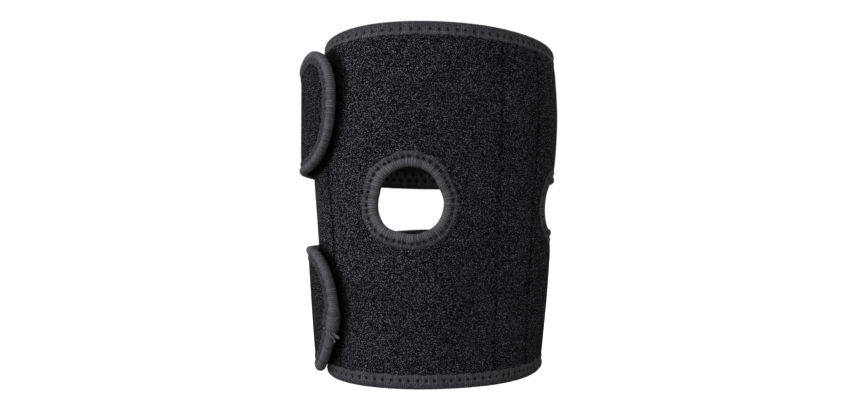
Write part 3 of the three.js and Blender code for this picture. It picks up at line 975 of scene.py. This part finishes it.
def make_tape_weave(pile_group):
    """Grey ribbed elastic: pale with wear, with painted light and shade on the rims, and painted shade in its
    furrows and needle holes.
    """
    material, shader = new_material("binding_tape", roughness=0.8, specular=0.15)
    tree = material.node_tree
    vector = flat_millimetres(tree, "along_tape")
    pile = add_pile(tree, vector, TAPE_TUFTS, pile_group)
    most_paled, furrow_shade = 0.55, 0.75
    least_fuzz, most_fuzz = 1.6, 5.0
    hole_from, hole_full = 0.1, 0.35
    lip_share = read_attribute(tree, "lip")
    # Paler with wear, and on the rims with painted light on the flange and painted shade on the lip
    paled = remap(tree, lip_share, 0.0, 1.0, 0.0, most_paled)
    fuzz_share = remap(tree, lip_share, 0.0, 0.9, least_fuzz, most_fuzz)
    fuzz = combine(tree, "MULTIPLY", pile.outputs["Fleck"], fuzz_share)
    yarn_share = combine(tree, "ADD", paled, fuzz)
    yarn = mix_colours(tree, yarn_share, YARN_PLAIN, YARN_WORN_AND_PAINTED_LIGHT)
    # Painted shade in the rib furrows
    furrow = remap(tree, read_attribute(tree, "rib"), 0.0, 0.7, furrow_shade, 0.0)
    ribbed = mix_colours(tree, furrow, yarn, PAINTED_FURROW_SHADE)
    # Painted shade in the needle holes
    hole = remap(tree, read_attribute(tree, "needle"), hole_from, hole_full, 0.0, 1.0)
    colour = mix_colours(tree, hole, ribbed, PAINTED_HOLE_SHADE)
    tree.links.new(colour, shader.inputs["Base Color"])
    add_bump(tree, pile.outputs["Height"], shader, strength=0.4, distance=0.12)
    return material


def make_thread(name, pile_group, pale):
    """Twisted sewing thread, its plies paler than the furrows between them."""
    material, shader = new_material(name, roughness=0.55, specular=0.3)
    tree = material.node_tree
    pile = add_pile(tree, object_millimetres(tree), THREAD_TUFTS, pile_group)
    plies = remap(tree, pile.outputs["Fleck"], 0.0, 0.25, 0.4, 1.0)
    colour = mix_colours(tree, plies, PLY_FURROW, pale)
    tree.links.new(colour, shader.inputs["Base Color"])
    add_bump(tree, pile.outputs["Height"], shader, strength=0.3, distance=0.08)
    return material


def make_hook_tape(pile_group):
    """Moulded hooks in close rows on a dull black backing."""
    material, shader = new_material("hook_tape", roughness=0.45, specular=0.4)
    tree = material.node_tree
    vector = flat_millimetres(tree, "flat_cloth")
    row_values = {"Scale": 1.1, "Randomness": 0.25}
    hooks = add_node(tree, "ShaderNodeTexVoronoi", row_values, voronoi_dimensions="2D")
    tree.links.new(vector, hooks.inputs["Vector"])
    top_radius, foot_radius, dull_share = 0.1, 0.45, 0.6
    tops = remap(tree, hooks.outputs["Distance"], top_radius, foot_radius, 1.0, 0.0)
    pile = add_pile(tree, vector, HOOK_TUFTS, pile_group)
    uneven = remap(tree, pile.outputs["Fleck"], 0.0, 0.5, dull_share, 1.0)
    shine = combine(tree, "MULTIPLY", tops, uneven)
    colour = mix_colours(tree, shine, HOOK_BACKING, HOOK_TOPS)
    tree.links.new(colour, shader.inputs["Base Color"])
    add_bump(tree, tops, shader, strength=0.8, distance=0.4)
    return material


# Studio

def only_in_sight(tree, unseen, seen):
    """A strength that differs where the camera looks straight at the studio, as a lit white table does."""
    path = add_node(tree, "ShaderNodeLightPath")
    return remap(tree, path.outputs["Is Camera Ray"], 0.0, 1.0, unseen, seen)


def make_floor():
    bm = bmesh.new()
    bmesh.ops.create_grid(bm, x_segments=1, y_segments=1, size=FLOOR_REACH)
    mesh = bpy.data.meshes.new("studio_floor")
    bm.to_mesh(mesh)
    bm.free()
    material, shader = new_material("studio_white", roughness=0.8, specular=0.3)
    shader.inputs["Base Color"].default_value = (*FLOOR_GREY, 1.0)
    shader.inputs["Emission Color"].default_value = (*WHITE, 1.0)
    glow = only_in_sight(material.node_tree, FLOOR_LIGHT, FLOOR_SEEN)
    material.node_tree.links.new(glow, shader.inputs["Emission Strength"])
    mesh.materials.append(material)
    floor = bpy.data.objects.new("studio_floor", mesh)
    bpy.context.scene.collection.objects.link(floor)


def add_softbox(name, azimuth, elevation, distance, size, power, colour):
    """A round soft light aimed at the middle of the support, from degrees round it and above the floor."""
    light = bpy.data.lights.new(name, "AREA")
    light.shape = "DISK"
    light.size = size
    light.energy = power
    light.color = colour
    lamp = bpy.data.objects.new(name, light)
    around, above = math.radians(azimuth), math.radians(elevation)
    out = Vector((math.sin(around) * math.cos(above), -math.cos(around) * math.cos(above), math.sin(above)))
    lamp.location = Vector((0.0, 0.0, HEIGHT * MM / 2)) + out * distance
    lamp.rotation_euler = (-out).to_track_quat("-Z", "Y").to_euler()
    bpy.context.scene.collection.objects.link(lamp)


def light_studio():
    scene = bpy.context.scene
    world = bpy.data.worlds.new("studio")
    world.use_nodes = True
    background = world.node_tree.nodes["Background"]
    background.inputs["Color"].default_value = (*WHITE, 1.0)
    strength = only_in_sight(world.node_tree, BACKGROUND_LIGHT, BACKGROUND_SEEN)
    world.node_tree.links.new(strength, background.inputs["Strength"])
    scene.world = world
    scene.view_settings.view_transform = "Standard"
    for light in SOFT_LIGHTS:
        add_softbox(*light)


def add_camera():
    data = bpy.data.cameras.new("photo_camera")
    data.sensor_width = SENSOR
    data.lens = FOCAL_PIXELS * SENSOR / PHOTO_WIDTH
    data.shift_x = (PHOTO_WIDTH / 2 - SIGHT_X) / PHOTO_WIDTH
    data.shift_y = (SIGHT_Y - PHOTO_HEIGHT / 2) / PHOTO_WIDTH
    data.clip_start = NEAREST_SEEN
    camera = bpy.data.objects.new("photo_camera", data)
    camera.location = Vector((AXIS_X, AXIS_Y - VIEW_DISTANCE, VIEW_HEIGHT)) * MM
    camera.rotation_euler = (math.pi / 2, 0.0, 0.0)
    bpy.context.scene.collection.objects.link(camera)
    bpy.context.scene.camera = camera


def main():
    pile_group = make_pile_group()
    tape = make_tape_weave(pile_group)
    hooks = make_hook_tape(pile_group)
    threads = [
        make_thread("sewing_thread", pile_group, SEWING_PLY),
        make_thread("loose_thread", pile_group, LOOSE_PLY),
    ]

    bottom_run = TapeRun(
        edge_points("bottom", FREE_END, lower_tip.low.start)
        + lower_tip.low.points(0, TAPE_JOIN)[1:]
    )
    edge_run = TapeRun(
        lower_tip.low.points(TAPE_JOIN, 90)
        + lower_tip.high.points(90, 0)[1:]
        + edge_points("slot_low", lower_tip.high.start, SLOT_S)[1:-1]
        + arc_points(SLOT_S, MIDDLE, SLOT_RADIUS, 270, 90)
        + edge_points("slot_high", SLOT_S, upper_tip.low.start)[1:-1]
        + upper_tip.low.points(0, 90)
        + upper_tip.high.points(90, 0)[1:]
        + edge_points("top", upper_tip.high.start, FREE_END)[1:]
    )
    end_heights = spaced(HEIGHT - END_CLEAR, END_CLEAR, CLOTH_STEP)
    end_run = TapeRun([Vector((FREE_END, z)) for z in end_heights])
    hole_run = TapeRun(hole_points(), closed=True)

    sleeve, cut_area = make_sleeve([make_loop_fabric(pile_group), make_inner_knit(pile_group)])
    sewn_on = [
        fold_tape("elbow_hole_tape", hole_run, tape, ["elbow_hole_binding"]),
        fold_tape("bottom_tape", bottom_run, tape, ["bottom_binding"]),
        fold_tape("edge_tape", edge_run, tape, ["edge_binding"], start_lap=LAP_LENGTH),
        fold_tape("end_tape", end_run, tape, ["end_binding"], start_lap=END_LAP, stop_lap=END_LAP),
        make_stitching([hole_run, bottom_run, edge_run, end_run], edge_run, threads),
        make_hook_pad("upper_hooks", upper_tip, hooks, "upper_hook_pad"),
        make_hook_pad("lower_hooks", lower_tip, hooks, "lower_hook_pad"),
    ]

    make_floor()
    light_studio()
    add_camera()


main()
